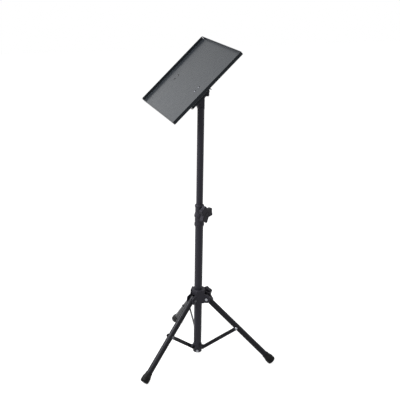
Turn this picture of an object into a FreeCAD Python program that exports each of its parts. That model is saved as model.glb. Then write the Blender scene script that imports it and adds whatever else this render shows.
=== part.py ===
import FreeCAD, Part
import math
import os
from FreeCAD import Placement, Rotation, Vector

os.makedirs("parts", exist_ok=True)

# Fits, all radial or face to face
running_gap = 0.05
moving_gap = 0.3
seat_gap = 0.03

# Lower and upper tube of the pole
lower_tube_diameter = 30.0
lower_tube_wall = 1.5
lower_tube_bottom = 20.0
lower_tube_length = 553.0
upper_tube_diameter = 25.0
upper_tube_wall = 1.2
upper_tube_length = 519.0
tube_overlap = 115.0

# Bottom fitting with the three brace lugs
fitting_wall = 2.0
fitting_floor = 3.0
fitting_height = 33.5
lug_radius = 22.0
lug_rise = 21.5
lug_half_width = 7.5
lug_thickness = 10.0
cross_bolt_rise = 6.0
cross_bolt_angle = -110.0
cross_boss_radius = 6.5
cross_boss_rise = 1.2

# Legs
leg_angles = {"right": -30.0, "rear": 90.0, "left": 210.0}
leg_diameter = 22.0
leg_wall = 1.2
leg_tilt = 47.2
leg_pivot_radius = 35.0
leg_pivot_height = 248.0
leg_behind_pivot = 12.0
brace_place = 159.5

# Rubber feet
foot_radius = 16.5
foot_rim_round = 7.0
foot_cuff_radius = 13.0
foot_length = 41.0
foot_end_thickness = 9.0
foot_groove_count = 3
foot_groove_radius = 0.9
foot_groove_spacing = 5.0
sole_flat_depth = 1.2

# Braces
brace_width = 14.0
brace_thickness = 2.5
brace_leg_gap = 1.25
brace_groove_width = 5.0
brace_groove_depth = 0.8

# Rivets and bolts
rivet_radius = 3.0
rivet_head_radius = 5.2
rivet_head_height = 4.0
rivet_tail_radius = 4.2
rivet_tail_height = 1.6
small_bolt_radius = 3.0
small_bolt_flats = 10.0
small_head_height = 3.2
small_nut_height = 4.2
small_bolt_tail = 0.8
leg_bolt_flats = 10.0
leg_bolt_head = 4.0

# Sliding leg hub
hub_below_pivot = 17.0
hub_above_pivot = 36.0
hub_wall = 2.8
hub_rib_radius = 27.0
hub_rib_half_width = 8.0
hub_rib_round = 2.0
cheek_thickness = 3.2
cheek_end = 13.0
cheek_shoulder_radius = 24.0
cheek_shoulder_rise = 21.0
cheek_shoulder_round = 6.0
hub_boss_radius = 11.0
hub_boss_reach = 39.5
hub_knob_drop = 6.0
hub_knob_angle = 30.0
hub_knob_turn = 109.0

# Clamp collar on top of the lower tube
collar_overlap = 36.0
collar_rise = 49.0
collar_sleeve_wall = 1.8
collar_lower_lip = 18.2
collar_ring = 18.9
collar_waist = 15.4
collar_upper_lip = 17.2
collar_knob_rise = 18.3
collar_knob_angle = -58.7
collar_knob_turn = 6.5
collar_boss_radius = 12.0
collar_boss_reach = 19.6

# Three-armed knobs and their studs: the tilt knob has shorter arms than the two clamp knobs
knob_arm_count = 3
knob_reach = 31.5
knob_arm_half_width = 15.0
knob_tip_dish = 1.6
knob_dish_round = 30.0
knob_tip_round = 4.0
knob_valley_round = 6.0
knob_thickness = 16.0
knob_edge_round = 2.2
knob_neck_radius = 9.5
knob_cap_radius = 9.0
knob_cap_groove = 0.8
clamp_neck_length = 1.0
tilt_knob_reach = 21.5
tilt_knob_half_width = 15.5
tilt_knob_thickness = 14.0
tilt_knob_turn = -3.5
tilt_neck_length = 3.0
stud_radius = 4.0
stud_grip = 12.0
clamp_nut_flats = 13.0
clamp_nut_height = 4.0

# Glide at the lower end of the upper tube
glide_height = 36.0
glide_floor = 5.7
glide_floor_bore = 9.0

# Tilt head
head_plug_length = 30.0
head_collar_height = 7.0
head_half_thickness = 9.5
head_half_width = 10.5
head_flare = 22.0
head_flare_rise = 26.0
head_flare_length = 19.0
head_round = 5.0
head_hole_radius = 2.2
head_hole_depth = 4.0
head_hole_side = -7.7
head_hole_rise = 16.3
pivot_rise = 65.3
pivot_boss_radius = 14.0
tilt_bolt_radius = 4.0
tilt_bolt_flats = 13.0
tilt_head_height = 5.3
insert_radius = 6.5

# Tray and the parts below it, level in their own frame
tray_length = 394.0
tray_width = 318.4
tray_sheet = 1.5
tray_edge_height = 12.0
tray_bend_round = 2.0
tray_corner_notch = 2.4
tray_notch_opening = 6.0
tray_tilt = 43.8
pivot_drop = 57.8
channel_low_side = -79.5
channel_high_side = 14.0
channel_half_length = 132.0
channel_depth = 33.0
channel_sheet = 2.0
channel_low_cut = 2.0
channel_high_cut = 11.0
saddle_half_width = 10.6
saddle_sheet = 3.0
screw_row = 117.0
screw_middle = -20.0
screw_half_spacing = 9.0
screw_radius = 2.0
screw_length = 12.0
screw_nut_flats = 7.0
screw_nut_height = 3.2

# Overrun of cutting tools past the faces they open
overrun = 1.0

up = Vector(0, 0, 1)
origin = Vector(0, 0, 0)
lower_tube_top = lower_tube_bottom + lower_tube_length
upper_tube_bottom = lower_tube_top - tube_overlap
upper_tube_top = upper_tube_bottom + upper_tube_length
lug_height = lower_tube_bottom + lug_rise
cross_bolt_height = lower_tube_bottom + cross_bolt_rise
hub_bottom = leg_pivot_height - hub_below_pivot
hub_top = leg_pivot_height + hub_above_pivot
hub_knob_height = leg_pivot_height - hub_knob_drop
collar_bottom = lower_tube_top - collar_overlap
collar_top = lower_tube_top + collar_rise
collar_knob_height = lower_tube_top + collar_knob_rise
pivot_height = upper_tube_top + pivot_rise
lower_radius = lower_tube_diameter / 2
lower_bore = lower_radius - lower_tube_wall
upper_radius = upper_tube_diameter / 2
upper_bore = upper_radius - upper_tube_wall
leg_radius = leg_diameter / 2


def outline(corners, standing):
    # closed outline from (across, along, round) corners, lying flat or standing in XZ
    places = []
    for index in range(len(corners)):
        spot = Vector(corners[index][0], corners[index][1], 0)
        before = corners[index - 1]
        after = corners[(index + 1) % len(corners)]
        back = (Vector(before[0], before[1], 0) - spot).normalize()
        ahead = (Vector(after[0], after[1], 0) - spot).normalize()
        radius = corners[index][2]
        half = back.getAngle(ahead) / 2
        reach = radius / math.tan(half)
        centre = spot + (back + ahead).normalize() * (radius / math.sin(half)) if radius else spot
        middle = centre + (spot - centre).normalize() * radius if radius else spot
        places.append((spot + back * reach, middle, spot + ahead * reach, radius))
    edges = []
    for index in range(len(places)):
        entry, middle, leave, radius = places[index]
        following = places[(index + 1) % len(places)][0]
        if radius:
            edges.append(Part.Arc(entry, middle, leave).toShape())
        if (following - leave).Length > 1e-6:
            edges.append(Part.makeLine(leave, following))
    wire = Part.Wire(edges)
    if standing:
        wire.rotate(origin, Vector(1, 0, 0), 90)
    return wire


def plain(pairs):
    return [(across, along, 0) for across, along in pairs]


def turned(corners):
    # body of revolution about the vertical from (radius, height, round) corners
    return Part.Face(outline(corners, True)).revolve(origin, up, 360)


def flat_plate(corners, low, high):
    face = Part.Face(outline(corners, False))
    face.translate(up * low)
    return face.extrude(up * (high - low))


def upright_plate(corners, near, far):
    # standing outline thickened along Y between two planes
    face = Part.Face(outline(corners, True))
    face.translate(Vector(0, near, 0))
    return face.extrude(Vector(0, far - near, 0))


def rod(radius, start, end):
    return Part.makeCylinder(radius, (end - start).Length, start, end - start)


def pipe(outer, inner, start, end):
    return rod(outer, start, end).cut(rod(inner, start, end))


def hexagon(flats, start, end):
    corner = flats / math.sqrt(3)
    points = []
    for step in range(6):
        turn = math.radians(60 * step)
        points.append((corner * math.cos(turn), corner * math.sin(turn), 0))
    prism = flat_plate(points, 0, (end - start).Length)
    return aimed(prism, start, end - start)


def aimed(shape, place, direction):
    copy = shape.copy()
    copy.Placement = Placement(place, Rotation(up, direction)).multiply(copy.Placement)
    return copy


def facing(shape, place, direction, turn):
    # stands a shape drawn along +Z on a level direction and turns it, seen from its front
    outward = direction.normalize()
    across = up.cross(outward)
    rise = math.radians(turn)
    first = across * math.cos(rise) + up * math.sin(rise)
    copy = shape.copy()
    attitude = Rotation(first, outward.cross(first), outward, "ZXY")
    copy.Placement = Placement(place, attitude).multiply(copy.Placement)
    return copy


def spun(shape, angle):
    copy = shape.copy()
    copy.rotate(origin, up, angle)
    return copy


def spoke(angle, radius, height):
    turn = math.radians(angle)
    return Vector(radius * math.cos(turn), radius * math.sin(turn), height)


def domed_head(radius, height):
    # low round rivet head standing on its flat face
    return turned([(0, 0, 0), (radius, 0, 0), (radius, height * 0.4, height * 0.35),
                   (radius * 0.6, height, height * 0.8), (0, height, 0)])


def save(name, shape):
    shape.exportStep("parts/" + name + ".step")


# Lower tube
lower_tube = pipe(lower_radius, lower_bore, up * lower_tube_bottom, up * lower_tube_top)
cross_far = lower_radius * 2
cross_hole = rod(small_bolt_radius + seat_gap, spoke(cross_bolt_angle, cross_far, cross_bolt_height),
                 spoke(cross_bolt_angle, -cross_far, cross_bolt_height))
save("lower_tube", lower_tube.cut(cross_hole))

# Brace planes: the bar lies beside the leg on its clockwise side
brace_inner = -(leg_radius + brace_leg_gap)
brace_outer = brace_inner - brace_thickness
lug_face = brace_inner + moving_gap
lug_back = lug_face + lug_thickness

# Bottom fitting
fitting_bottom = lower_tube_bottom - fitting_floor
fitting_top = fitting_bottom + fitting_height
fitting_radius = lower_radius + fitting_wall
fitting = turned([(0, fitting_bottom, 0), (fitting_radius, fitting_bottom, 2.0),
                  (fitting_radius, fitting_top, 1.0), (0, fitting_top, 0)])
lug_end = lug_radius + lug_half_width
lug_round = lug_half_width * 0.98
lug = upright_plate([(lower_radius * 0.8, lug_height - lug_half_width, 0),
                     (lug_end, lug_height - lug_half_width, lug_round),
                     (lug_end, lug_height + lug_half_width, lug_round),
                     (lower_radius * 0.8, lug_height + lug_half_width, 0)], lug_face, lug_back)
lug = lug.cut(rod(rivet_radius + seat_gap, Vector(lug_radius, lug_face - overrun, lug_height),
                  Vector(lug_radius, lug_back + overrun, lug_height)))
for angle in leg_angles.values():
    fitting = fitting.fuse(spun(lug, angle))
boss_end = fitting_radius + cross_boss_rise
fitting = fitting.fuse(rod(cross_boss_radius, spoke(cross_bolt_angle, boss_end, cross_bolt_height),
                           spoke(cross_bolt_angle, -boss_end, cross_bolt_height)))
fitting = fitting.cut(rod(lower_radius + seat_gap, up * lower_tube_bottom, up * (fitting_top + overrun)))
save("bottom_fitting", fitting.cut(cross_hole).removeSplitter())

# Cross bolt of the bottom fitting and its nut
bolt_shoulder = spoke(cross_bolt_angle, boss_end, cross_bolt_height)
bolt_crown = spoke(cross_bolt_angle, boss_end + small_head_height, cross_bolt_height)
nut_face = spoke(cross_bolt_angle, -boss_end, cross_bolt_height)
nut_back = spoke(cross_bolt_angle, -boss_end - small_nut_height, cross_bolt_height)
bolt_tip = spoke(cross_bolt_angle, -boss_end - small_nut_height - small_bolt_tail, cross_bolt_height)
cross_shank = rod(small_bolt_radius, bolt_shoulder, bolt_tip)
save("cross_bolt", cross_shank.fuse(hexagon(small_bolt_flats, bolt_shoulder, bolt_crown)))
cross_nut = hexagon(small_bolt_flats, nut_face, nut_back)
save("cross_nut", cross_nut.cut(rod(small_bolt_radius + seat_gap, nut_face, nut_back)))

# Rivets at the lower ends of the braces
rivet_seat = brace_outer - moving_gap
rivet_near = Vector(lug_radius, rivet_seat, lug_height)
rivet_far = Vector(lug_radius, lug_back, lug_height)
rivet_head = domed_head(rivet_head_radius, rivet_head_height)
lower_rivet = rod(rivet_radius, rivet_near, rivet_far).fuse(aimed(rivet_head, rivet_near, Vector(0, -1, 0)))
rivet_tail = Vector(lug_radius, lug_back + rivet_tail_height, lug_height)
lower_rivet = lower_rivet.fuse(rod(rivet_tail_radius, rivet_far, rivet_tail))
save("brace_pivot_rivets", Part.makeCompound([spun(lower_rivet, angle) for angle in leg_angles.values()]))


# Knob with three broad dished arms, its axis pointing up and its neck face at zero
def knob_body(reach, half_width, thickness, neck_length):
    share = half_width / knob_arm_half_width
    valley = half_width / math.tan(math.pi / knob_arm_count)
    arm_corners = [(reach, -half_width, knob_tip_round * share),
                   (reach - knob_tip_dish * share, 0, knob_dish_round * share),
                   (reach, half_width, knob_tip_round * share),
                   (valley, half_width, knob_valley_round * share)]
    corners = []
    for arm in range(knob_arm_count):
        turn = 2 * math.pi * arm / knob_arm_count
        for across, along, rounding in arm_corners:
            corners.append((across * math.cos(turn) - along * math.sin(turn),
                            across * math.sin(turn) + along * math.cos(turn), rounding))
    crown = neck_length + thickness
    grip = flat_plate(corners, neck_length, crown)
    rims = [edge for edge in grip.Edges if edge.BoundBox.ZLength < 1e-6]
    grip = grip.makeFillet(knob_edge_round * share, rims)
    cap = knob_cap_radius * share
    groove = pipe(cap, cap - knob_cap_groove, up * (crown - knob_cap_groove), up * (crown + overrun))
    neck = rod(knob_neck_radius, origin, up * (neck_length + knob_edge_round))
    return grip.cut(groove).fuse(neck)


def clamp_knob(name, angle, height, boss_reach, tube_radius, turn):
    # knob and its stud on one horizontal spoke
    face = boss_reach + moving_gap
    grip_end = face + clamp_neck_length + stud_grip
    tip = tube_radius + moving_gap
    direction = spoke(angle, 1, 0)
    stud = rod(stud_radius, spoke(angle, tip, height), spoke(angle, grip_end, height))
    grip = knob_body(knob_reach, knob_arm_half_width, knob_thickness, clamp_neck_length)
    grip = facing(grip, spoke(angle, face, height), direction, turn)
    save(name + "_knob", grip.cut(stud))
    save(name + "_knob_stud", stud)


def clamp_nut(angle, height, seat):
    inner = spoke(angle, seat - clamp_nut_height, height)
    outer = spoke(angle, seat, height)
    nut = hexagon(clamp_nut_flats, inner, outer)
    return nut.cut(rod(stud_radius + running_gap, inner, outer))


def clamp_pocket(angle, height, seat, reach):
    # hexagon pocket open to the bore, and the stud hole through the boss
    hollow = hexagon(clamp_nut_flats + 2 * seat_gap, spoke(angle, 0, height), spoke(angle, seat, height))
    mouth = spoke(angle, reach + overrun, height)
    return hollow.fuse(rod(stud_radius + moving_gap, spoke(angle, 0, height), mouth))


# Clamp collar, a turned sleeve with three rings and a round boss
collar_sleeve = lower_radius + collar_sleeve_wall
collar_span = collar_top - collar_bottom
collar = turned([(0, collar_bottom, 0), (collar_sleeve - 0.6, collar_bottom, 0.4),
                 (collar_lower_lip, collar_bottom + 0.06 * collar_span, 1.0),
                 (collar_lower_lip, collar_bottom + 0.13 * collar_span, 1.0),
                 (collar_sleeve, collar_bottom + 0.20 * collar_span, 2.0),
                 (collar_sleeve, collar_bottom + 0.41 * collar_span, 2.0),
                 (collar_ring, collar_bottom + 0.46 * collar_span, 1.0),
                 (collar_ring, collar_bottom + 0.51 * collar_span, 1.0),
                 (collar_waist, collar_bottom + 0.66 * collar_span, 6.0),
                 (collar_waist, collar_bottom + 0.84 * collar_span, 4.0),
                 (collar_upper_lip, collar_bottom + 0.92 * collar_span, 1.0),
                 (collar_upper_lip, collar_bottom + 0.97 * collar_span, 1.0),
                 (upper_radius + 2.0, collar_top, 0.6), (0, collar_top, 0)])
collar = collar.fuse(rod(collar_boss_radius, up * collar_knob_height,
                         spoke(collar_knob_angle, collar_boss_reach, collar_knob_height)))
collar = collar.cut(rod(lower_radius + seat_gap, up * (collar_bottom - overrun), up * lower_tube_top))
collar = collar.cut(rod(upper_radius + moving_gap, up * collar_bottom, up * (collar_top + overrun)))
collar_nut_seat = upper_radius + moving_gap * 2 + clamp_nut_height
collar = collar.cut(clamp_pocket(collar_knob_angle, collar_knob_height, collar_nut_seat, collar_boss_reach))
save("clamp_collar", collar.removeSplitter())
save("collar_nut", clamp_nut(collar_knob_angle, collar_knob_height, collar_nut_seat))
clamp_knob("collar", collar_knob_angle, collar_knob_height, collar_boss_reach, upper_radius, collar_knob_turn)

# Sliding hub: sleeve, three ribs between the legs, a pair of cheeks at every leg
hub_radius = lower_radius + moving_gap + hub_wall
hub = turned([(0, hub_bottom, 0), (hub_radius, hub_bottom, 1.0), (hub_radius, hub_top, 1.0), (0, hub_top, 0)])
rib = upright_plate([(lower_radius * 0.7, hub_bottom, 0), (hub_rib_radius, hub_bottom, hub_rib_round),
                     (hub_rib_radius, hub_top, hub_rib_round), (lower_radius * 0.7, hub_top, 0)],
                    -hub_rib_half_width, hub_rib_half_width)
cheek_inner = leg_radius + moving_gap * 2
cheek_outer = cheek_inner + cheek_thickness
cheek_tip = leg_pivot_radius + cheek_end
cheek_bottom = hub_bottom + hub_rib_round
cheek = [(lower_radius * 0.7, cheek_bottom, 0), (cheek_tip, cheek_bottom, cheek_end * 0.85),
         (cheek_tip, leg_pivot_height + cheek_end, cheek_end * 0.6),
         (cheek_shoulder_radius, leg_pivot_height + cheek_shoulder_rise, cheek_shoulder_round),
         (cheek_shoulder_radius, hub_top, hub_rib_round), (lower_radius * 0.7, hub_top, 0)]
cheeks = upright_plate(cheek, cheek_inner, cheek_outer).fuse(upright_plate(cheek, -cheek_outer, -cheek_inner))
pivot_near = Vector(leg_pivot_radius, -cheek_outer, leg_pivot_height)
pivot_far = Vector(leg_pivot_radius, cheek_outer, leg_pivot_height)
cheeks = cheeks.cut(rod(small_bolt_radius + seat_gap, pivot_near, pivot_far))
for angle in leg_angles.values():
    hub = hub.fuse(spun(cheeks, angle)).fuse(spun(rib, angle + 180))
hub_boss_end = spoke(hub_knob_angle, hub_boss_reach, hub_knob_height)
hub = hub.fuse(rod(hub_boss_radius, up * hub_knob_height, hub_boss_end))
hub = hub.cut(rod(lower_radius + moving_gap, up * (hub_bottom - overrun), up * (hub_top + overrun)))
hub_nut_seat = lower_radius + moving_gap * 2 + clamp_nut_height
hub = hub.cut(clamp_pocket(hub_knob_angle, hub_knob_height, hub_nut_seat, hub_boss_reach))
save("leg_hub", hub.removeSplitter())
save("hub_nut", clamp_nut(hub_knob_angle, hub_knob_height, hub_nut_seat))
clamp_knob("hub", hub_knob_angle, hub_knob_height, hub_boss_reach, lower_radius, hub_knob_turn)

# Leg pivot bolts and nuts in the hub
side = Vector(0, 1, 0)
pivot_bolt = rod(small_bolt_radius, pivot_near, pivot_far + side * (small_nut_height + small_bolt_tail))
pivot_bolt = pivot_bolt.fuse(hexagon(small_bolt_flats, pivot_near - side * small_head_height, pivot_near))
pivot_nut = hexagon(small_bolt_flats, pivot_far, pivot_far + side * small_nut_height)
pivot_nut = pivot_nut.cut(rod(small_bolt_radius + seat_gap, pivot_far, pivot_far + side * small_nut_height))
save("leg_pivot_bolts", Part.makeCompound([spun(pivot_bolt, angle) for angle in leg_angles.values()]))
save("leg_pivot_nuts", Part.makeCompound([spun(pivot_nut, angle) for angle in leg_angles.values()]))

# Leg tube, foot and brace bolt, drawn for a leg toward +X
lean = math.radians(leg_tilt)
along_leg = Vector(math.sin(lean), 0, -math.cos(lean))
leg_pivot = Vector(leg_pivot_radius, 0, leg_pivot_height)
rim_fall = foot_rim_round + (foot_radius - foot_rim_round) * math.sin(lean)
foot_end = foot_rim_round + (leg_pivot_height + sole_flat_depth - rim_fall) / math.cos(lean)
leg_end = foot_end - foot_end_thickness
leg_start = leg_pivot - along_leg * leg_behind_pivot
leg_tube = pipe(leg_radius, leg_radius - leg_wall, leg_start, leg_pivot + along_leg * leg_end)
brace_spot = leg_pivot + along_leg * brace_place
for spot, fit in ((leg_pivot, running_gap), (brace_spot, seat_gap)):
    hole = rod(small_bolt_radius + fit, spot - side * leg_diameter, spot + side * leg_diameter)
    leg_tube = leg_tube.cut(hole)
leg_bolt = rod(small_bolt_radius, brace_spot - side * leg_radius, brace_spot + side * leg_radius)
bolt_seat = brace_spot + side * leg_radius
leg_bolt = leg_bolt.fuse(hexagon(leg_bolt_flats, bolt_seat, bolt_seat + side * leg_bolt_head))
foot_top = foot_end - foot_length
cuff_end = foot_top + foot_length * 0.2
flare_end = foot_top + foot_length * 0.5
foot = turned([(leg_radius + seat_gap, foot_top, 0), (foot_cuff_radius, foot_top, 0.8),
               (foot_cuff_radius, cuff_end, 4.0), (foot_radius, flare_end, 8.0),
               (foot_radius, foot_end, foot_rim_round), (0, foot_end, 0), (0, leg_end, 0),
               (leg_radius + seat_gap, leg_end, 0)])
for step in range(foot_groove_count):
    groove_place = foot_end - foot_rim_round - foot_groove_spacing * step
    foot = foot.cut(Part.makeTorus(foot_radius, foot_groove_radius, up * groove_place))
foot = aimed(foot, leg_pivot, along_leg)
floor_reach = foot_end * 2
foot = foot.cut(Part.makeBox(floor_reach, floor_reach, floor_reach, Vector(0, -foot_end, -floor_reach)))

# Brace bar and its upper rivet
brace_rise = brace_spot.z - lug_height
brace_run = brace_spot.x - lug_radius
brace_length = math.hypot(brace_rise, brace_run)
brace_lean = math.degrees(math.atan2(brace_run, brace_rise))
bar_half = brace_width / 2
bar_round = bar_half * 0.98
bar_end = brace_length + bar_half
bar = upright_plate([(-bar_half, -bar_half, bar_round), (bar_half, -bar_half, bar_round),
                     (bar_half, bar_end, bar_round), (-bar_half, bar_end, bar_round)],
                    brace_outer, brace_inner)
groove_half = brace_groove_width / 2
groove_round = groove_half * 0.95
groove_end = brace_length - brace_width
groove = upright_plate([(-groove_half, brace_width, groove_round), (groove_half, brace_width, groove_round),
                        (groove_half, groove_end, groove_round), (-groove_half, groove_end, groove_round)],
                       brace_outer - overrun, brace_outer + brace_groove_depth)
bar = bar.cut(groove)
for reach, fit in ((0, running_gap), (brace_length, seat_gap)):
    hole_near = Vector(0, brace_outer - overrun, reach)
    hole_far = Vector(0, brace_inner + overrun, reach)
    bar = bar.cut(rod(rivet_radius + fit, hole_near, hole_far))
bar.rotate(origin, side, brace_lean)
bar.translate(Vector(lug_radius, 0, lug_height))
rivet_place = Vector(brace_spot.x, brace_outer, brace_spot.z)
upper_rivet = rod(rivet_radius, rivet_place, rivet_place + side * brace_thickness)
upper_rivet = upper_rivet.fuse(aimed(rivet_head, rivet_place, Vector(0, -1, 0)))

for name, angle in leg_angles.items():
    save("leg_tube_" + name, spun(leg_tube, angle))
    save("rubber_foot_" + name, spun(foot, angle))
    save("leg_bolt_" + name, spun(leg_bolt, angle))
    save("brace_" + name, spun(bar, angle))
    save("brace_rivet_" + name, spun(upper_rivet, angle))

# Glide, upper tube and tilt head
glide_bottom = upper_tube_bottom - moving_gap - glide_floor
glide = turned(plain([(glide_floor_bore, glide_bottom), (lower_bore - moving_gap, glide_bottom),
                      (lower_bore - moving_gap, glide_bottom + glide_height),
                      (upper_radius + running_gap, glide_bottom + glide_height),
                      (upper_radius + running_gap, glide_bottom + glide_floor),
                      (glide_floor_bore, glide_bottom + glide_floor)]))
save("mast_glide", glide)
save("upper_tube", pipe(upper_radius, upper_bore, up * upper_tube_bottom, up * upper_tube_top))

plug_bottom = upper_tube_top - head_plug_length
plug_radius = upper_bore - seat_gap
collar_end = upper_tube_top + head_collar_height
head = turned([(0, plug_bottom, 0), (plug_radius, plug_bottom, 1.0), (plug_radius, upper_tube_top, 0),
               (upper_radius, upper_tube_top, 0), (upper_radius, collar_end, 2.0), (0, collar_end, 0)])
block_bottom = upper_tube_top + seat_gap
flare_start = upper_tube_top + head_flare_rise
flare_stop = flare_start + head_flare_length
block = upright_plate([(-head_half_width, block_bottom, 0), (head_half_width, block_bottom, 0),
                       (head_half_width, pivot_height, head_round), (0, pivot_height + head_round, 0),
                       (-pivot_boss_radius, pivot_height, 0), (-head_flare, flare_stop, head_round),
                       (-head_flare, flare_start, head_round)],
                      -head_half_thickness, head_half_thickness)
pivot = Vector(0, 0, pivot_height)
head_span = side * head_half_thickness
block = block.fuse(rod(pivot_boss_radius, pivot - head_span, pivot + head_span))
head = head.fuse(block)
bolt_span = side * head_half_width * 2
head = head.cut(rod(tilt_bolt_radius + seat_gap, pivot - bolt_span, pivot + bolt_span))
hole_mouth = Vector(head_hole_side, -head_half_thickness, upper_tube_top + head_hole_rise)
head = head.cut(rod(head_hole_radius, hole_mouth - side * overrun, hole_mouth + side * head_hole_depth))
save("tilt_head", head.removeSplitter())

# Tilt bolt along Y with its head on the far side, and the knob on the near side
ear_inner = head_half_thickness + moving_gap
ear_outer = ear_inner + saddle_sheet
knob_face = ear_outer + moving_gap
knob_depth = tilt_neck_length + stud_grip
bolt_head_seat = pivot + side * (ear_outer + moving_gap)
bolt_end = pivot - side * (knob_face + knob_depth)
tilt_bolt = rod(tilt_bolt_radius, bolt_end, bolt_head_seat)
tilt_bolt = tilt_bolt.fuse(hexagon(tilt_bolt_flats, bolt_head_seat, bolt_head_seat + side * tilt_head_height))
save("tilt_bolt", tilt_bolt)
insert_start = pivot - side * knob_face
insert_end = pivot - side * (knob_face + knob_depth + moving_gap)
save("tilt_knob_insert", pipe(insert_radius, tilt_bolt_radius + running_gap, insert_start, insert_end))
tilt_knob = knob_body(tilt_knob_reach, tilt_knob_half_width, tilt_knob_thickness, tilt_neck_length)
tilt_knob = facing(tilt_knob, insert_start, -side, tilt_knob_turn)
save("tilt_knob", tilt_knob.cut(rod(insert_radius, insert_start, insert_end)))


# Tray and the parts below it are drawn level with the middle of the underside at zero
def tipped(shape):
    copy = shape.copy()
    copy.translate(up * pivot_drop)
    copy.rotate(origin, side, -tray_tilt)
    copy.translate(pivot)
    return copy


def trough(half_span):
    # folded section with two raised edges
    inside = half_span - tray_sheet
    inner_round = tray_bend_round - tray_sheet
    return [(-half_span, tray_edge_height, 0), (-half_span, 0, tray_bend_round),
            (half_span, 0, tray_bend_round), (half_span, tray_edge_height, 0),
            (inside, tray_edge_height, 0), (inside, tray_sheet, inner_round),
            (-inside, tray_sheet, inner_round), (-inside, tray_edge_height, 0)]


half_run = tray_length / 2 - tray_corner_notch
half_cross = tray_width / 2 - tray_corner_notch
tray = upright_plate(trough(tray_width / 2), -half_run, half_run)
crossing = upright_plate(trough(tray_length / 2), -half_cross, half_cross)
crossing.rotate(origin, up, 90)
tray = tray.fuse(crossing).removeSplitter()
mouth_height = tray_edge_height - tray_sheet
corner_mouth = Part.makeCone(tray_corner_notch, tray_notch_opening, mouth_height, up * tray_sheet)
for run in (-tray_length / 2, tray_length / 2):
    for cross in (-tray_width / 2, tray_width / 2):
        mouth = corner_mouth.copy()
        mouth.translate(Vector(run, cross, 0))
        tray = tray.cut(mouth)
screw_spots = []
for row in (-screw_row, screw_row):
    for shift in (-screw_half_spacing, screw_half_spacing):
        screw_spots.append(Vector(screw_middle + shift, row, 0))
screw_head = turned(plain([(0, 0), (screw_radius, 0), (screw_radius + tray_sheet, tray_sheet),
                           (0, tray_sheet)]))
screws = []
nuts = []
web_bottom = -channel_sheet
for spot in screw_spots:
    sink = screw_head.copy()
    sink.translate(spot)
    tray = tray.cut(sink).cut(rod(screw_radius + seat_gap, spot - up, spot + up * tray_sheet))
    screws.append(tipped(sink.fuse(rod(screw_radius, spot - up * (screw_length - tray_sheet), spot))))
    nut = hexagon(screw_nut_flats, spot + up * (web_bottom - screw_nut_height), spot + up * web_bottom)
    nuts.append(tipped(nut.cut(rod(screw_radius + seat_gap, spot - up * screw_length, spot))))
save("tray", tipped(tray))
save("tray_screws", Part.makeCompound(screws))
save("tray_nuts", Part.makeCompound(nuts))

# Channel: a shallow pan open below, its end edges cut off at the corners
channel_middle = (channel_low_side + channel_high_side) / 2
channel_half = (channel_high_side - channel_low_side) / 2
channel_inside = channel_half - channel_sheet
bend = channel_sheet * 1.5
section = [(-channel_half, -channel_depth, 0), (-channel_half, 0, bend), (channel_half, 0, bend),
           (channel_half, -channel_depth, 0), (channel_inside, -channel_depth, 0),
           (channel_inside, -channel_sheet, bend / 3), (-channel_inside, -channel_sheet, bend / 3),
           (-channel_inside, -channel_depth, 0)]
channel = upright_plate(section, -channel_half_length + bend, channel_half_length - bend)
end_edge = upright_plate([(-channel_inside, -channel_sheet, 0), (channel_inside, -channel_sheet, 0),
                          (channel_half - bend, -channel_depth + channel_high_cut, 0),
                          (channel_half - channel_high_cut, -channel_depth, 0),
                          (-channel_half + channel_low_cut, -channel_depth, 0),
                          (-channel_half + bend, -channel_depth + channel_low_cut, 0)],
                         channel_half_length - channel_sheet, channel_half_length)
end_web = Part.makeBox(2 * (channel_half - bend), bend * 2, channel_sheet,
                       Vector(-channel_half + bend, channel_half_length - bend * 2, -channel_sheet))
end_piece = end_edge.fuse(end_web)
far_piece = end_piece.mirror(origin, side)
channel = channel.fuse(end_piece).fuse(far_piece).removeSplitter()
channel.translate(Vector(channel_middle, 0, 0))
for spot in screw_spots:
    channel = channel.cut(rod(screw_radius + seat_gap, spot - up * channel_depth, spot))
save("tray_channel", tipped(channel))

# Saddle: a folded strap below the channel whose ears hang on the tilt bolt
ear_round = saddle_half_width * 0.98
ear_foot = -pivot_drop - saddle_half_width
ear = [(-saddle_half_width, -channel_sheet, 0), (-saddle_half_width, ear_foot, ear_round),
       (saddle_half_width, ear_foot, ear_round), (saddle_half_width, -channel_sheet, 0)]
saddle = upright_plate(ear, ear_inner, ear_outer).fuse(upright_plate(ear, -ear_outer, -ear_inner))
saddle = saddle.fuse(Part.makeBox(2 * saddle_half_width, 2 * ear_outer, saddle_sheet,
                                  Vector(-saddle_half_width, -ear_outer, -channel_sheet - saddle_sheet)))
bolt_line = Vector(0, 0, -pivot_drop)
ear_span = side * ear_outer * 2
saddle = saddle.cut(rod(tilt_bolt_radius + running_gap, bolt_line - ear_span, bolt_line + ear_span))
save("tilt_saddle", tipped(saddle.removeSplitter()))
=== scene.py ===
import bpy
import math
from mathutils import Matrix, Vector


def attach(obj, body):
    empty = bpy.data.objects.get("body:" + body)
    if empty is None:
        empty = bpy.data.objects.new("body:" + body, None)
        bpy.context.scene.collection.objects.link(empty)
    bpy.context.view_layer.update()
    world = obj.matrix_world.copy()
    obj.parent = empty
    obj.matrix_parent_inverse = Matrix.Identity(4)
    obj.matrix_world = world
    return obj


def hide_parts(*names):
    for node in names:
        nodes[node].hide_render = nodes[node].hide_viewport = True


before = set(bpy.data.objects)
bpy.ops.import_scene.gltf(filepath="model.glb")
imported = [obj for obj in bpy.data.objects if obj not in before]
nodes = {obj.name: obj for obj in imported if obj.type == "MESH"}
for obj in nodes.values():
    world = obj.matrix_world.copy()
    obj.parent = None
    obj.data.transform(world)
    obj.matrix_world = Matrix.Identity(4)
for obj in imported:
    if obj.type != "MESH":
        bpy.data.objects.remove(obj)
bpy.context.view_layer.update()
bpy.ops.object.select_all(action="DESELECT")
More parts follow.
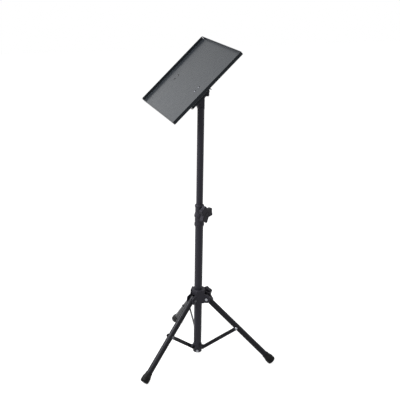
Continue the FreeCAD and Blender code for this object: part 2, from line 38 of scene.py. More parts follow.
print("frame loaded:", len(nodes), "nodes")


# sRGB hex to linear colour
def linear(hexColour):
    channels = [int(hexColour[i:i + 2], 16) / 255 for i in (1, 3, 5)]
    return [c / 12.92 if c <= 0.04045 else ((c + 0.055) / 1.055) ** 2.4 for c in channels] + [1]


# adds one node: settings are its attributes, inputs are values or sockets to link from
def addNode(tree, kind, inputs=None, **settings):
    node = tree.nodes.new(kind)
    for key, value in settings.items():
        setattr(node, key, value)
    for key, value in (inputs or {}).items():
        if isinstance(value, bpy.types.NodeSocket):
            tree.links.new(value, node.inputs[key])
        else:
            node.inputs[key].default_value = value
    return node


def startMaterial(name):
    material = bpy.data.materials.new(name)
    material.use_nodes = True
    tree = material.node_tree
    tree.nodes.clear()
    return material, tree


# noise frequency for a pattern of this many millimetres, coordinates being metres
def perMetre(millimetres):
    return 1000 / millimetres


# camera of the photograph, worked out from the tray's corners, the feet and the pole
photoCamera = {"place": (-0.8797, -2.5806, 1.5719), "heading": -18.857, "down": 18.9, "roll": 0.867,
               "lens": 71.04, "sensor": 36}
lens = bpy.data.cameras.new("photoLens")
lens.sensor_fit = "HORIZONTAL"
lens.sensor_width = photoCamera["sensor"]
lens.lens = photoCamera["lens"]
camera = bpy.data.objects.new("photoCamera", lens)
bpy.context.scene.collection.objects.link(camera)
turn = Matrix.Rotation(math.radians(photoCamera["heading"]), 4, "Z")
tip = Matrix.Rotation(math.radians(90 - photoCamera["down"]), 4, "X")
roll = Matrix.Rotation(math.radians(photoCamera["roll"]), 4, "Z")
camera.matrix_world = Matrix.Translation(photoCamera["place"]) @ turn @ tip @ roll
bpy.context.scene.camera = camera
bpy.context.scene.view_settings.view_transform = "Standard"
print("camera set")


# 1 for the rays that see the background: straight, mirrored or through something clear
def backgroundShare(tree):
    ray = addNode(tree, "ShaderNodeLightPath").outputs
    seen = addNode(tree, "ShaderNodeMath", {0: ray["Is Camera Ray"], 1: ray["Is Glossy Ray"]},
                   operation="MAXIMUM")
    seen = addNode(tree, "ShaderNodeMath", {0: seen.outputs[0], 1: ray["Is Transmission Ray"]},
                   operation="MAXIMUM")
    return seen.outputs[0]


# white studio: lamps and a dim world light the stand, and the rays that see the background find it white
studio = {"skyLevel": 0.42, "floorSize": 16, "floorColour": "#606060", "shadowShare": 0.36, "floorGlow": 0.86}
white = (1, 1, 1, 1)
world = bpy.data.worlds.new("whiteStudio")
bpy.context.scene.world = world
world.use_nodes = True
tree = world.node_tree
tree.nodes.clear()
level = addNode(tree, "ShaderNodeMapRange",
                {"Value": backgroundShare(tree), "To Min": studio["skyLevel"], "To Max": 1.0})
sky = addNode(tree, "ShaderNodeBackground", {"Color": white, "Strength": level.outputs[0]})
addNode(tree, "ShaderNodeOutputWorld", {"Surface": sky.outputs[0]})

bpy.ops.mesh.primitive_plane_add(size=studio["floorSize"])
floor = bpy.context.object
floor.name = "studioFloor"
paint, tree = startMaterial("matt floor paint")
seen = backgroundShare(tree)
matt = addNode(tree, "ShaderNodeBsdfDiffuse", {"Color": linear(studio["floorColour"])})
soft = addNode(tree, "ShaderNodeBsdfDiffuse", {"Color": [studio["shadowShare"]] * 3 + [1]})
glow = addNode(tree, "ShaderNodeEmission", {"Color": white, "Strength": studio["floorGlow"]})
shown = addNode(tree, "ShaderNodeAddShader", {0: soft.outputs[0], 1: glow.outputs[0]})
mix = addNode(tree, "ShaderNodeMixShader", {0: seen, 1: matt.outputs[0], 2: shown.outputs[0]})
addNode(tree, "ShaderNodeOutputMaterial", {"Surface": mix.outputs[0]})
floor.data.materials.append(paint)

# soft boxes: each faces its aim, with its long side lying along a direction
lamps = {
    "keyBox": {"place": (-1.33, 0.1, 1.72), "aim": (-0.12, -0.07, 0.13), "along": (-0.31, 0.94, -0.22),
               "size": (1.2, 0.6), "power": 56},
    "frontLamp": {"place": (-1.5, -3.0, 2.6), "aim": (0, 0, 0.8), "along": (1, -0.5, 0),
                  "size": (1.6, 1.6), "power": 34},
    "fillLamp": {"place": (3.0, -1.6, 1.8), "aim": (0, 0, 0.6), "along": (0.5, 1, 0),
                 "size": (2.6, 2.6), "power": 18},
    "backLamp": {"place": (-1.4, 2.8, 1.8), "aim": (0, 0, 0.6), "along": (1, 0.5, 0),
                 "size": (1.8, 1.8), "power": 10},
}
for name, lamp in lamps.items():
    light = bpy.data.lights.new(name, "AREA")
    light.shape = "RECTANGLE"
    light.size, light.size_y = lamp["size"]
    light.energy = lamp["power"]
    holder = bpy.data.objects.new(name, light)
    bpy.context.scene.collection.objects.link(holder)
    away = (Vector(lamp["place"]) - Vector(lamp["aim"])).normalized()
    along = (Vector(lamp["along"]) - away * away.dot(Vector(lamp["along"]))).normalized()
    facing = Matrix((along, away.cross(along), away)).transposed().to_4x4()
    holder.matrix_world = Matrix.Translation(lamp["place"]) @ facing
print("studio lit")

# agreement of the rounded and the true normal: on the open surface, and where it counts as a full edge
edgeLook = {"samples": 6, "open": 1.0, "edge": 0.86}


# 1 on edges within this radius and 0 on the open surface
def edgeShare(tree, radiusMm):
    rounded = addNode(tree, "ShaderNodeBevel", {"Radius": radiusMm / 1000}, samples=edgeLook["samples"])
    flat = addNode(tree, "ShaderNodeNewGeometry")
    same = addNode(tree, "ShaderNodeVectorMath", {0: rounded.outputs[0], 1: flat.outputs["Normal"]},
                   operation="DOT_PRODUCT")
    share = addNode(tree, "ShaderNodeMapRange",
                    {"Value": same.outputs["Value"],
                     "From Min": edgeLook["open"], "From Max": edgeLook["edge"]})
    return share.outputs[0]


# polyester powder baked on steel: satin black with a fine orange peel, faint handling clouds and
# thinner, greyer edges
powder = {"peelMm": 1.4, "peelDepthMm": 0.03, "chipMm": 6, "wornEdgeMm": 0.7, "uneven": (0.7, 1.3)}


def powderCoat(name, coat):
    material, tree = startMaterial(name)
    where = addNode(tree, "ShaderNodeTexCoord").outputs["Object"]
    peel = addNode(tree, "ShaderNodeTexNoise",
                   {"Vector": where, "Scale": perMetre(powder["peelMm"]), "Detail": 2})
    cloud = addNode(tree, "ShaderNodeTexNoise",
                    {"Vector": where, "Scale": perMetre(coat["cloudMm"]), "Detail": 5, "Roughness": 0.6})
    drawn = addNode(tree, "ShaderNodeMapping", {"Vector": where, "Scale": coat["rubStretch"]})
    rub = addNode(tree, "ShaderNodeTexNoise",
                  {"Vector": drawn.outputs[0], "Scale": perMetre(coat["rubMm"]), "Detail": 3})
    tint = addNode(tree, "ShaderNodeMix",
                   {"Factor": cloud.outputs["Fac"], "A": linear(coat["dark"]), "B": linear(coat["light"])},
                   data_type="RGBA")
    chips = addNode(tree, "ShaderNodeTexNoise",
                    {"Vector": where, "Scale": perMetre(powder["chipMm"]), "Detail": 6, "Roughness": 0.7})
    worn = addNode(tree, "ShaderNodeMath",
                   {0: edgeShare(tree, powder["wornEdgeMm"]), 1: chips.outputs["Fac"]}, operation="MULTIPLY")
    tint = addNode(tree, "ShaderNodeMix",
                   {"Factor": worn.outputs[0], "A": tint.outputs[2], "B": linear(coat["edge"])},
                   data_type="RGBA")
    uneven = addNode(tree, "ShaderNodeMath", {0: cloud.outputs["Fac"], 1: rub.outputs["Fac"]},
                     operation="ADD")
    satin = addNode(tree, "ShaderNodeMapRange",
                    {"Value": uneven.outputs[0],
                     "From Min": powder["uneven"][0], "From Max": powder["uneven"][1],
                     "To Min": coat["satin"][0], "To Max": coat["satin"][1]})
    bump = addNode(tree, "ShaderNodeBump",
                   {"Height": peel.outputs["Fac"], "Strength": coat["peelStrength"],
                    "Distance": powder["peelDepthMm"] / 1000})
    shader = addNode(tree, "ShaderNodeBsdfPrincipled",
                     {"Base Color": tint.outputs[2], "Roughness": satin.outputs[0], "IOR": coat["ior"],
                      "Specular Tint": linear(coat["sheen"]), "Normal": bump.outputs[0]})
    addNode(tree, "ShaderNodeOutputMaterial", {"Surface": shader.outputs[0]})
    return material


tubeCoat = powderCoat("powder-coated steel tube", {
    "dark": "#18171c", "light": "#201f25", "edge": "#4b4b50", "sheen": "#ecebfa", "ior": 1.33,
    "satin": (0.4, 0.54), "peelStrength": 0.5, "cloudMm": 55,
    "rubMm": 1.6, "rubStretch": (1, 1, 0.02)})  # sliding marks along the pole
legCoat = powderCoat("powder-coated steel leg", {
    "dark": "#17171a", "light": "#1e1e21", "edge": "#3f3f43", "sheen": "#f2f1fa", "ior": 1.2,
    "satin": (0.3, 0.38), "peelStrength": 0.5, "cloudMm": 40, "rubMm": 9, "rubStretch": (1, 1, 1)})
sheetCoat = powderCoat("powder-coated steel sheet", {
    "dark": "#1c1f22", "light": "#25282c", "edge": "#55585c", "sheen": "#e8f2fb", "ior": 1.22,
    "satin": (0.23, 0.31), "peelStrength": 0.3, "cloudMm": 80, "rubMm": 14, "rubStretch": (1, 1, 1)})

# glass-filled nylon from a spark-eroded mould: grey-black and matt with an even grain, drawn several times
# coarser than the real one so that it shows, and with edges that handling has changed; on the knobs they are
# darkened as painted shade
mould = {"grainSpread": (0.3, 0.7), "shine": 0.5}


def mouldedNylon(name, nylon):
    material, tree = startMaterial(name)
    where = addNode(tree, "ShaderNodeTexCoord").outputs["Object"]
    grain = addNode(tree, "ShaderNodeTexNoise",
                    {"Vector": where, "Scale": perMetre(nylon["grainMm"]), "Detail": 3, "Roughness": 0.65})
    flow = addNode(tree, "ShaderNodeTexNoise",
                   {"Vector": where, "Scale": perMetre(nylon["flowMm"]), "Detail": 3})
    tint = addNode(tree, "ShaderNodeMix",
                   {"Factor": flow.outputs["Fac"], "A": linear(nylon["dark"]), "B": linear(nylon["light"])},
                   data_type="RGBA")
    # edge colour: handling wear on the fittings, painted shade on the knob lobes
    edgeWearAndShade = edgeShare(tree, nylon["edgeMm"])
    tint = addNode(tree, "ShaderNodeMix",
                   {"Factor": edgeWearAndShade, "A": tint.outputs[2], "B": linear(nylon["edge"])}, data_type="RGBA")
    matt = addNode(tree, "ShaderNodeMapRange",
                   {"Value": grain.outputs["Fac"],
                    "From Min": mould["grainSpread"][0], "From Max": mould["grainSpread"][1],
                    "To Min": nylon["matt"][0], "To Max": nylon["matt"][1]})
    gloss = addNode(tree, "ShaderNodeMath", {0: edgeWearAndShade, 1: nylon["edgeRough"], 2: matt.outputs[0]},
                    operation="MULTIPLY_ADD")
    bump = addNode(tree, "ShaderNodeBump",
                   {"Height": grain.outputs["Fac"], "Strength": nylon["grainStrength"],
                    "Distance": nylon["grainDepthMm"] / 1000})
    sharp = addNode(tree, "ShaderNodeMapRange",
                    {"Value": edgeWearAndShade, "To Min": mould["shine"], "To Max": nylon["edgeShine"]})
    shader = addNode(tree, "ShaderNodeBsdfPrincipled",
                     {"Base Color": tint.outputs[2], "Roughness": gloss.outputs[0], "IOR": nylon["ior"],
                      "Specular IOR Level": sharp.outputs[0], "Specular Tint": linear(nylon["sheen"]),
                      "Normal": bump.outputs[0]})
    addNode(tree, "ShaderNodeOutputMaterial", {"Surface": shader.outputs[0]})
    return material


nylon = mouldedNylon("moulded nylon", {
    "dark": "#17161b", "light": "#1f1e24", "sheen": "#ecebfa", "ior": 1.33, "matt": (0.48, 0.6),
    "edge": "#2b2a30", "edgeMm": 1.2, "edgeRough": -0.12, "edgeShine": 0.55,  # edges rubbed shinier
    "grainMm": 0.9, "grainDepthMm": 0.05, "grainStrength": 0.6, "flowMm": 18})
knobNylon = mouldedNylon("moulded nylon knob", {
    "dark": "#1d1c21", "light": "#27262b", "sheen": "#ecebfa", "ior": 1.23, "matt": (0.44, 0.54),
    "edge": "#08080a", "edgeMm": 3.2, "edgeRough": 0.1, "edgeShine": 0.1,  # painted shade: lobe edges darkened and made duller
    "grainMm": 1.1, "grainDepthMm": 0.04, "grainStrength": 0.5, "flowMm": 14})

# plated and turned metals: zinc is bright and faintly clouded, dull zinc has greyed, black zinc is dark,
# brass is warm; the fine scratches are drawn coarse enough to break up a glint
plate = {"cloudSpread": (0.3, 0.7), "scratchMm": 0.5, "scratchDepthMm": 0.02, "scratchStrength": 0.3}


def metal(name, finish):
    material, tree = startMaterial(name)
    where = addNode(tree, "ShaderNodeTexCoord").outputs["Object"]
    cloud = addNode(tree, "ShaderNodeTexNoise",
                    {"Vector": where, "Scale": perMetre(finish["cloudMm"]), "Detail": 4})
    tint = addNode(tree, "ShaderNodeMix",
                   {"Factor": cloud.outputs["Fac"],
                    "A": linear(finish["dark"]), "B": linear(finish["light"])}, data_type="RGBA")
    rough = addNode(tree, "ShaderNodeMapRange",
                    {"Value": cloud.outputs["Fac"],
                     "From Min": plate["cloudSpread"][0], "From Max": plate["cloudSpread"][1],
                     "To Min": finish["rough"][0], "To Max": finish["rough"][1]})
    scratch = addNode(tree, "ShaderNodeTexNoise",
                      {"Vector": where, "Scale": perMetre(plate["scratchMm"]), "Detail": 2})
    bump = addNode(tree, "ShaderNodeBump",
                   {"Height": scratch.outputs["Fac"], "Strength": plate["scratchStrength"],
                    "Distance": plate["scratchDepthMm"] / 1000})
    shader = addNode(tree, "ShaderNodeBsdfPrincipled",
                     {"Base Color": tint.outputs[2], "Roughness": rough.outputs[0],
                      "Metallic": finish["metallic"], "Normal": bump.outputs[0]})
    addNode(tree, "ShaderNodeOutputMaterial", {"Surface": shader.outputs[0]})
    return material


zinc = metal("zinc-plated steel", {
    "dark": "#797b80", "light": "#94969a", "rough": (0.28, 0.42), "metallic": 1.0, "cloudMm": 2.5})
dullZinc = metal("dulled zinc-plated steel", {
    "dark": "#444549", "light": "#5c5d61", "rough": (0.4, 0.55), "metallic": 1.0, "cloudMm": 2.5})
blackZinc = metal("black zinc-plated steel", {
    "dark": "#1a1a1d", "light": "#28282b", "rough": (0.22, 0.32), "metallic": 0.9, "cloudMm": 2})
screwZinc = metal("dark zinc-plated screw steel", {
    "dark": "#303135", "light": "#48494e", "rough": (0.26, 0.36), "metallic": 1.0, "cloudMm": 2})
brass = metal("turned brass", {
    "dark": "#a5823f", "light": "#c09a52", "rough": (0.25, 0.4), "metallic": 1.0, "cloudMm": 3})

# moulded natural rubber: dull black, with a pale bloom in patches and a skin drawn coarse so that it shows
rubberLook = {"dark": "#09090a", "light": "#141415", "rough": 0.46, "ior": 1.2, "bloomMm": 12,
              "skinMm": 0.8, "skinDepthMm": 0.05, "skinStrength": 0.4}
rubber, tree = startMaterial("natural rubber")
where = addNode(tree, "ShaderNodeTexCoord").outputs["Object"]
bloom = addNode(tree, "ShaderNodeTexNoise",
                {"Vector": where, "Scale": perMetre(rubberLook["bloomMm"]), "Detail": 6, "Roughness": 0.65})
tint = addNode(tree, "ShaderNodeMix",
               {"Factor": bloom.outputs["Fac"],
                "A": linear(rubberLook["dark"]), "B": linear(rubberLook["light"])}, data_type="RGBA")
skin = addNode(tree, "ShaderNodeTexNoise",
               {"Vector": where, "Scale": perMetre(rubberLook["skinMm"]), "Detail": 2})
bump = addNode(tree, "ShaderNodeBump",
               {"Height": skin.outputs["Fac"], "Strength": rubberLook["skinStrength"],
                "Distance": rubberLook["skinDepthMm"] / 1000})
shader = addNode(tree, "ShaderNodeBsdfPrincipled",
                 {"Base Color": tint.outputs[2], "Roughness": rubberLook["rough"], "IOR": rubberLook["ior"],
                  "Normal": bump.outputs[0]})
addNode(tree, "ShaderNodeOutputMaterial", {"Surface": shader.outputs[0]})


def dress(piece, material):
    piece.data.materials.clear()
    piece.data.materials.append(material)


legAngle = {"right": -30.0, "rear": 90.0, "left": 210.0}
finishes = [
    (tubeCoat, ["lower_tube", "upper_tube"]),
    (legCoat, ["leg_tube_" + leg for leg in legAngle] + ["brace_" + leg for leg in legAngle]),
    (sheetCoat, ["tray", "tray_channel", "tilt_saddle"]),
    (nylon, ["bottom_fitting", "clamp_collar", "leg_hub", "tilt_head", "mast_glide"]),
    (knobNylon, ["collar_knob", "hub_knob", "tilt_knob"]),
    (zinc, ["collar_nut", "collar_knob_stud", "hub_nut", "hub_knob_stud"]),
    (zinc, ["brace_rivet_" + leg for leg in legAngle]),
    (blackZinc, ["brace_pivot_rivets"]),
    (brass, ["tilt_knob_insert"]),
    (rubber, ["rubber_foot_" + leg for leg in legAngle]),
]
for material, names in finishes:
    for name in names:
        dress(nodes[name], material)
print("materials on the CAD nodes")


# directions that faces are picked by, and how squarely they have to face them
upward = Vector((0, 0, 1))
outward = Vector((1, 0, 0))
squarely = 0.9


# leaves the piece in edit mode with all its faces selected, or those that face a direction
def pickFaces(piece, direction=None):
    bpy.context.view_layer.objects.active = piece
    bpy.ops.object.mode_set(mode="EDIT")
    bpy.ops.mesh.select_mode(type="FACE")
    bpy.ops.mesh.select_all(action="DESELECT")
    bpy.ops.object.mode_set(mode="OBJECT")
    for face in piece.data.polygons:
        face.select = direction is None or face.normal.dot(direction) > squarely
    bpy.ops.object.mode_set(mode="EDIT")


# cuts, joins or trims the piece with a tool, which is then gone
def carve(piece, tool, operation):
    cut = piece.modifiers.new("carve", "BOOLEAN")
    cut.object = tool
    cut.operation = operation
    cut.solver = "EXACT"
    bpy.ops.object.select_all(action="DESELECT")
    bpy.context.view_layer.objects.active = piece
    bpy.ops.object.modifier_apply(modifier="carve")
    bpy.data.objects.remove(tool)


# smooth but for the edges sharper than this many degrees
sharpEdge = 28


def smoothShade(piece):
    bpy.ops.object.select_all(action="DESELECT")
    piece.select_set(True)
    bpy.context.view_layer.objects.active = piece
    bpy.ops.object.shade_smooth_by_angle(angle=math.radians(sharpEdge))


# what all hexagon fasteners share: the flat circle on top as a part of the width across flats, and the
# chamfers in millimetres
hexForm = {"crown": 0.47, "crownSides": 72, "sides": 40, "tip": 0.5, "tipShare": 0.86, "flare": 0.6}


# six-sided prism from its seat at zero up, its top corners turned off to 30 degrees
def hexPrism(name, flats, height):
    middle = (0, 0, height / 2)
    corner = flats / math.sqrt(3)
    bpy.ops.mesh.primitive_cylinder_add(vertices=6, radius=corner, depth=height, location=middle)
    prism = bpy.context.object
    prism.name = name
    bpy.ops.object.transform_apply(location=True)
    crown = flats * hexForm["crown"]
    bpy.ops.mesh.primitive_cone_add(vertices=hexForm["crownSides"], radius1=crown + height * math.sqrt(3),
                                    radius2=crown, depth=height, location=middle)
    carve(prism, bpy.context.object, "INTERSECT")
    return prism


# hex bolt in its own frame: the head stands on zero and the shank hangs below it, chamfered at its end
def hexBolt(name, bolt):
    piece = hexPrism(name, bolt["flats"] / 1000, bolt["head"] / 1000)
    length = bolt["length"] / 1000
    bpy.ops.mesh.primitive_cylinder_add(vertices=hexForm["sides"], radius=bolt["shank"] / 1000, depth=length,
                                        location=(0, 0, -length / 2))
    shank = bpy.context.object
    bpy.ops.object.transform_apply(location=True)
    pickFaces(shank, -upward)
    bpy.ops.mesh.extrude_region_move(TRANSFORM_OT_translate={"value": (0, 0, -hexForm["tip"] / 1000)})
    bpy.ops.transform.resize(value=(hexForm["tipShare"], hexForm["tipShare"], 1))
    bpy.ops.object.mode_set(mode="OBJECT")
    carve(piece, shank, "UNION")
    return piece


# hex nut in its own frame: its seat at zero, its outer corners turned off, its bore opened out at the top
def hexNut(name, nut):
    height = nut["height"] / 1000
    bore = nut["bore"] / 1000
    flare = hexForm["flare"] * 2 / 1000  # half of the cone stands above the nut
    piece = hexPrism(name, nut["flats"] / 1000, height)
    bpy.ops.mesh.primitive_cylinder_add(vertices=hexForm["sides"], radius=bore, depth=height * 3,
                                        location=(0, 0, height / 2))
    carve(piece, bpy.context.object, "DIFFERENCE")
    bpy.ops.mesh.primitive_cone_add(vertices=hexForm["sides"], radius1=bore, radius2=bore + flare,
                                    depth=flare, location=(0, 0, height))
    carve(piece, bpy.context.object, "DIFFERENCE")
    return piece


# one copy of a model with its own mesh, turned about its axis, pointed along a direction and set in its place
def setPiece(model, name, place, along, turn, body, finish, node):
    piece = bpy.data.objects.new(name, model.data.copy())
    bpy.context.scene.collection.objects.link(piece)
    point = Vector(along).to_track_quat("Z", "Y").to_matrix().to_4x4()
    piece.data.transform(Matrix.Translation(place) @ point @ Matrix.Rotation(math.radians(turn), 4, "Z"))
    dress(piece, finish)
    smoothShade(piece)
    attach(piece, body)
    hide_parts(node)


# point on a leg's own plane: out from the pole, sideways along the pivot axis, and up, in millimetres
def atLeg(leg, out, aside, up):
    heading = math.radians(legAngle[leg])
    x = out * math.cos(heading) - aside * math.sin(heading)
    y = out * math.sin(heading) + aside * math.cos(heading)
    return Vector((x, y, up)) / 1000


def legAxis(leg):
    heading = math.radians(legAngle[leg])
    return Vector((-math.sin(heading), math.cos(heading), 0))


# hub as it is moulded: pads fill the corners between its ribs and cheeks flush, and a bridge ties each pair
# of cheeks above the leg
hubFill = {"low": 231.1, "high": 283.9, "face": 26.9, "root": 18.0, "ribSide": 6.5, "cheekSide": 16.8,
           "cheekPlane": 13.2, "round": 2.0, "roundSteps": 5, "merge": 0.01,
           "bridgeLow": 262.0, "bridgeFace": 23.9, "bridgeRoot": 8.0, "bridgeHalf": 14.7,
           "bore": 15.3, "boreLength": 200.0, "boreSides": 96}


# block with its outer face rounded off, between two corners given in millimetres and pointing out along X
def hubBlock(name, low, high):
    bpy.ops.object.select_all(action="DESELECT")
    bpy.ops.mesh.primitive_cube_add(size=1, location=[(a + b) / 2000 for a, b in zip(low, high)])
    block = bpy.context.object
    block.name = name
    block.scale = [(b - a) / 1000 for a, b in zip(low, high)]
    bpy.ops.object.transform_apply(location=True, rotation=False, scale=True)
    pickFaces(block, outward)
    bpy.ops.mesh.bevel(offset=hubFill["round"] / 1000, segments=hubFill["roundSteps"], affect="EDGES")
    bpy.ops.object.mode_set(mode="OBJECT")
    return block


hub = bpy.data.objects.new("legHubCasting", nodes["leg_hub"].data.copy())
bpy.context.scene.collection.objects.link(hub)
pickFaces(hub)
bpy.ops.mesh.remove_doubles(threshold=hubFill["merge"] / 1000)
bpy.ops.object.mode_set(mode="OBJECT")
for angle in legAngle.values():
    bridge = hubBlock("hubBridge", (hubFill["bridgeRoot"], -hubFill["bridgeHalf"], hubFill["bridgeLow"]),
                      (hubFill["bridgeFace"], hubFill["bridgeHalf"], hubFill["high"]))
    bridge.data.transform(Matrix.Rotation(math.radians(angle), 4, "Z"))
    carve(hub, bridge, "UNION")
    for side in (-1, 1):
        near, far = sorted((side * hubFill["ribSide"], side * hubFill["cheekSide"]))
        pad = hubBlock("hubPad", (hubFill["root"], near, hubFill["low"]),
                       (hubFill["face"], far, hubFill["high"]))
        cheek = Vector((math.sqrt(3) / 2, -side / 2, 0))  # square to the cheek, 30 degrees from the rib
        pickFaces(pad)
        bpy.ops.mesh.bisect(plane_co=cheek * hubFill["cheekPlane"] / 1000, plane_no=cheek, use_fill=True,
                            clear_inner=True)
        bpy.ops.object.mode_set(mode="OBJECT")
        opposite = math.radians(angle + 180)  # a rib stands opposite each leg
        pad.data.transform(Matrix.Rotation(opposite, 4, "Z"))
        carve(hub, pad, "UNION")
bpy.ops.mesh.primitive_cylinder_add(vertices=hubFill["boreSides"], radius=hubFill["bore"] / 1000,
                                    depth=hubFill["boreLength"] / 1000,
                                    location=(0, 0, hubFill["low"] / 1000))
carve(hub, bpy.context.object, "DIFFERENCE")
dress(hub, nylon)
smoothShade(hub)
even = hub.modifiers.new("even", "WEIGHTED_NORMAL")  # flat faces shade flat, only the rounds bend
even.mode = "FACE_AREA"
even.weight = 100
even.keep_sharp = True
bpy.ops.object.modifier_apply(modifier="even")
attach(hub, "hub")
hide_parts("leg_hub")
print("leg hub cast:", len(hub.data.polygons), "faces")

# leg pivots in the hub: an M6 bolt with its nut at every leg, each with its own turn
pivotBolt = {"flats": 10.0, "head": 3.2, "shank": 2.95, "length": 34.1}
pivotNut = {"flats": 10.0, "height": 4.2, "bore": 3.05}
pivotPlace = {"out": 35.0, "seat": 14.8, "up": 248.0}
pivotTurn = {"right": (8, 21), "rear": (34, 5), "left": (17, 40)}
boltModel = hexBolt("pivotBoltModel", pivotBolt)
nutModel = hexNut("pivotNutModel", pivotNut)
for leg, (boltTurn, nutTurn) in pivotTurn.items():
    axis = legAxis(leg)
    boltSeat = atLeg(leg, pivotPlace["out"], -pivotPlace["seat"], pivotPlace["up"])
    nutSeat = atLeg(leg, pivotPlace["out"], pivotPlace["seat"], pivotPlace["up"])
    boltFinish = dullZinc if leg == "left" else zinc  # the left one is drawn darker, in dull zinc
    setPiece(boltModel, "pivotBolt_" + leg, boltSeat, -axis, boltTurn, "hub", boltFinish,
             "leg_pivot_bolts")
    setPiece(nutModel, "pivotNut_" + leg, nutSeat, axis, nutTurn, "hub", dullZinc,
             "leg_pivot_nuts")
bpy.data.objects.remove(boltModel)
print("leg pivot bolts and nuts set")

# cross bolt through the bottom fitting, with a nut like those of the leg pivots
crossBolt = {"flats": 10.0, "head": 3.2, "shank": 2.95, "length": 40.9, "angle": -110.0, "seat": 18.2,
             "up": 26.0, "boltTurn": 12, "nutTurn": 33}
boltModel = hexBolt("crossBoltModel", crossBolt)
crossAngle = math.radians(crossBolt["angle"])
spoke = Vector((math.cos(crossAngle), math.sin(crossAngle), 0))
crossMiddle = Vector((0, 0, crossBolt["up"] / 1000))
crossSeat = spoke * crossBolt["seat"] / 1000
setPiece(boltModel, "crossBolt", crossMiddle + crossSeat, spoke, crossBolt["boltTurn"], "stand", zinc,
         "cross_bolt")
setPiece(nutModel, "crossNut", crossMiddle - crossSeat, -spoke, crossBolt["nutTurn"], "stand", dullZinc,
         "cross_nut")
bpy.data.objects.remove(boltModel)
bpy.data.objects.remove(nutModel)

# bolts through the legs where the braces meet them
legBolt = {"flats": 10.0, "head": 4.0, "shank": 2.95, "length": 21.5, "along": 159.5, "lean": 47.2,
           "seat": 11.0}
legBoltTurn = {"right": 25, "rear": 2, "left": 44}
boltModel = hexBolt("legBoltModel", legBolt)
legLean = math.radians(legBolt["lean"])
boltOut = pivotPlace["out"] + legBolt["along"] * math.sin(legLean)
boltUp = pivotPlace["up"] - legBolt["along"] * math.cos(legLean)
for leg, boltTurn in legBoltTurn.items():
    boltSeat = atLeg(leg, boltOut, legBolt["seat"], boltUp)
    setPiece(boltModel, "legBolt_" + leg, boltSeat, legAxis(leg), boltTurn, "leg_" + leg, dullZinc,
             "leg_bolt_" + leg)
bpy.data.objects.remove(boltModel)
print("cross bolt and leg bolts set")

# M8 bolt the tray tilts on
tiltBolt = {"flats": 13.0, "head": 5.3, "shank": 3.95, "length": 40.7, "seat": 13.1, "up": 1042.3, "turn": 14}
boltModel = hexBolt("tiltBoltModel", tiltBolt)
setPiece(boltModel, "tiltBolt", (0, tiltBolt["seat"] / 1000, tiltBolt["up"] / 1000), (0, 1, 0),
         tiltBolt["turn"], "mast", dullZinc, "tilt_bolt")
bpy.data.objects.remove(boltModel)

# tray tilted about that bolt, its underside this far from the bolt
trayTilt = {"angle": 43.8, "drop": 57.8}
trayLean = math.radians(trayTilt["angle"])
trayUp = Vector((-math.sin(trayLean), 0, math.cos(trayLean)))


# point of the tilted tray: along its slope, across it and above its underside, in millimetres
def onTray(along, across, above):
    rise = trayTilt["drop"] + above
    return Vector((along * math.cos(trayLean) - rise * math.sin(trayLean), across,
                   tiltBolt["up"] + along * math.sin(trayLean) + rise * math.cos(trayLean))) / 1000


# raised countersunk cross-recess screw: its head is drawn to a cone, given a rim on the sheet, domed and
# broached
trayScrew = {"sunk": 3.46, "head": 4.5, "shank": 1.96, "sink": 1.5, "length": 11.6, "sides": 48,
             "tip": 0.4, "tipShare": 0.8, "rimStart": 0.04, "rim": 0.2,
             "dome": ((0.9, 0.75), (1.1, 0.45), (1.1, 0.2)),  # inset and rise of each step
             "recess": (4.2, 0.9, 3.12), "recessTaper": 0.45,
             "rows": (-117.0, 117.0), "middle": -20.0, "halfSpacing": 9.0}
bpy.ops.mesh.primitive_cylinder_add(vertices=trayScrew["sides"], radius=trayScrew["sunk"] / 1000,
                                    depth=trayScrew["sink"] / 1000,
                                    location=(0, 0, -trayScrew["sink"] / 2000))
screwModel = bpy.context.object
screwModel.name = "trayScrewModel"
bpy.ops.object.transform_apply(location=True)
pickFaces(screwModel, -upward)
narrow = trayScrew["shank"] / trayScrew["sunk"]
belowHead = (trayScrew["sink"] - trayScrew["length"]) / 1000
bpy.ops.transform.resize(value=(narrow, narrow, 1))
bpy.ops.mesh.extrude_region_move(TRANSFORM_OT_translate={"value": (0, 0, belowHead)})
bpy.ops.mesh.extrude_region_move(TRANSFORM_OT_translate={"value": (0, 0, -trayScrew["tip"] / 1000)})
bpy.ops.transform.resize(value=(trayScrew["tipShare"], trayScrew["tipShare"], 1))
pickFaces(screwModel, upward)
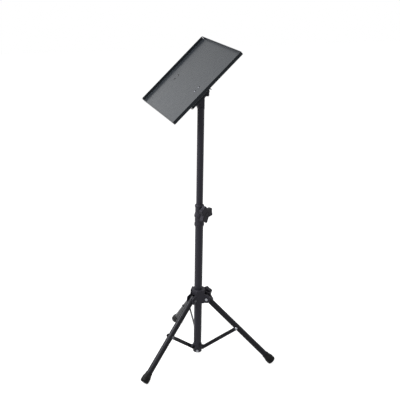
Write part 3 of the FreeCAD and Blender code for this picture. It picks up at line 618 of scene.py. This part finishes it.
wider = trayScrew["head"] / trayScrew["sunk"]
bpy.ops.mesh.extrude_region_move(TRANSFORM_OT_translate={"value": (0, 0, trayScrew["rimStart"] / 1000)})
bpy.ops.transform.resize(value=(wider, wider, 1))
bpy.ops.mesh.extrude_region_move(TRANSFORM_OT_translate={"value": (0, 0, trayScrew["rim"] / 1000)})
for step, rise in trayScrew["dome"]:
    bpy.ops.mesh.inset(thickness=step / 1000)
    bpy.ops.transform.translate(value=(0, 0, rise / 1000))
bpy.ops.object.mode_set(mode="OBJECT")
for recessTurn in (0, 90):
    bpy.ops.mesh.primitive_cube_add(size=1, location=(0, 0, 0))
    blade = bpy.context.object
    blade.scale = [side / 1000 for side in trayScrew["recess"]]
    blade.rotation_euler = (0, 0, math.radians(recessTurn))
    bpy.ops.object.transform_apply(location=True, rotation=True, scale=True)
    pickFaces(blade, -upward)
    bpy.ops.transform.resize(value=(trayScrew["recessTaper"], trayScrew["recessTaper"], 1))
    bpy.ops.object.mode_set(mode="OBJECT")
    carve(screwModel, blade, "DIFFERENCE")
trayNut = {"flats": 7.0, "height": 3.2, "bore": 2.05, "seat": -2.0}
# turn of each screw and of its nut, no two alike
trayTurn = {"nearLow": (-50, -29.4), "nearHigh": (12, 4.6), "farLow": (28, 17.4), "farHigh": (90, 51.4)}
nutModel = hexNut("trayNutModel", trayNut)
# painted shade: of these like screws, the far row is drawn in black zinc and the near row in dark zinc
for row, finish in zip(trayScrew["rows"], (screwZinc, blackZinc)):
    for side in (-1, 1):
        along = trayScrew["middle"] + side * trayScrew["halfSpacing"]
        label = ("near" if row < 0 else "far") + ("Low" if side < 0 else "High")
        screwTurn, nutTurn = trayTurn[label]
        setPiece(screwModel, "trayScrew_" + label, onTray(along, row, trayScrew["sink"]), trayUp, screwTurn,
                 "tray_top", finish, "tray_screws")
        setPiece(nutModel, "trayNut_" + label, onTray(along, row, trayNut["seat"]), -trayUp, nutTurn,
                 "tray_top", dullZinc, "tray_nuts")
bpy.data.objects.remove(screwModel)
bpy.data.objects.remove(nutModel)
print("tray bolt, screws and nuts set")
